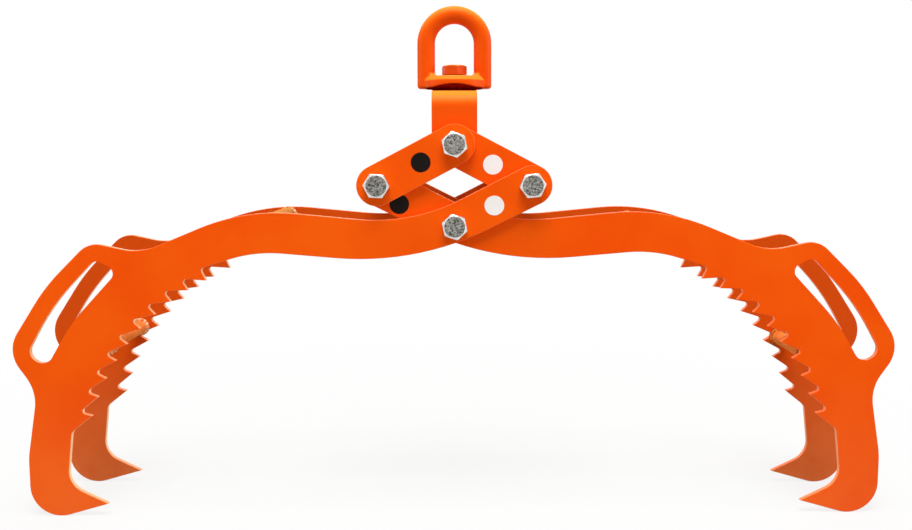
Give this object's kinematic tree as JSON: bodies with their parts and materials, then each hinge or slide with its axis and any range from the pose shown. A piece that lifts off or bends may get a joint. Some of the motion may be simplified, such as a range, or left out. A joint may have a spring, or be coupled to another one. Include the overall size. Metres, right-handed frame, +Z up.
{
  "type": "log tongs",
  "caption": "Scissor log tongs with paired toothed claw plates, cross bars, a bolted link rhombus and a swivel lifting ring that closes the claws as it pulls.",
  "frame": {"origin": "on the ground plane under the claw heels, midway between the claws and between the front and rear plates", "axes": "+X across the jaws to the right, +Y from the bolt heads to the nuts, +Z up along the swivel axis"},
  "size_m": [0.9214, 0.1478, 0.5363],
  "materials": {
    "orange_paint": "gloss",
    "zinc_steel": "satin",
    "nylon": "matte",
    "black_mark": "matte",
    "white_mark": "matte"
  },
  "bodies": {
    "left_claw": {"left_front_arm": "orange_paint", "left_rear_arm": "orange_paint", "left_upper_cross_bar": "orange_paint", "left_lower_cross_bar": "orange_paint", "left_arm_mark": "white_mark", "centre_pivot_bolt": "zinc_steel", "centre_lock_nut": "zinc_steel", "centre_nut_insert": "nylon", "centre_spacer_tube": "zinc_steel"},
    "right_claw": {"right_front_arm": "orange_paint", "right_rear_arm": "orange_paint", "right_upper_cross_bar": "orange_paint", "right_lower_cross_bar": "orange_paint", "right_arm_mark": "black_mark"},
    "left_links": {"left_front_link": "orange_paint", "left_rear_link": "orange_paint", "left_link_mark": "black_mark", "left_pivot_bolt": "zinc_steel", "left_lock_nut": "zinc_steel", "left_nut_insert": "nylon", "left_spacer_tube": "zinc_steel"},
    "right_links": {"right_front_link": "orange_paint", "right_rear_link": "orange_paint", "right_link_mark": "white_mark", "right_pivot_bolt": "zinc_steel", "right_lock_nut": "zinc_steel", "right_nut_insert": "nylon", "right_spacer_tube": "zinc_steel"},
    "top_pin": {"top_pivot_bolt": "zinc_steel", "top_lock_nut": "zinc_steel", "top_nut_insert": "nylon", "top_spacer_tube": "zinc_steel"},
    "hanger": {"hanger": "orange_paint", "swivel_bolt": "orange_paint", "swivel_washer": "orange_paint", "swivel_lock_nut": "orange_paint", "swivel_nut_insert": "nylon"},
    "swivel_ring": {"swivel_ring": "orange_paint"}
  },
  "joints": [
    {"name": "grip", "type": "hinge", "parent": "left_claw", "child": "right_claw", "pos_m": [0, 0, 0.3066], "axis": [0, 1, 0], "range_deg": [-9, 96]},
    {"name": "right_link_pivot", "type": "hinge", "parent": "left_claw", "child": "right_links", "pos_m": [0.07969, 0, 0.34844], "axis": [0, 1, 0], "range_deg": [-9, 96]},
    {"name": "left_link_pivot", "type": "hinge", "parent": "right_claw", "child": "left_links", "pos_m": [-0.07969, 0, 0.34844], "axis": [0, 1, 0], "range_deg": [-96, 9]},
    {"name": "top_pin_turn", "type": "hinge", "parent": "right_links", "child": "top_pin", "pos_m": [0, 0, 0.39027], "axis": [0, 1, 0], "range_deg": [-48, 4.5]},
    {"name": "hanger_swing", "type": "hinge", "parent": "top_pin", "child": "hanger", "pos_m": [0, 0, 0.39027], "axis": [0, 1, 0], "range_deg": [-75, 75]},
    {"name": "swivel", "type": "hinge", "parent": "hanger", "child": "swivel_ring", "pos_m": [0, 0, 0.44927], "axis": [0, 0, 1], "continuous": true}
  ],
  "couplings": [
    {"joint": "right_link_pivot", "follows": "grip", "ratio": 1},
    {"joint": "left_link_pivot", "follows": "grip", "ratio": -1},
    {"joint": "top_pin_turn", "follows": "grip", "ratio": -0.5}
  ]
}
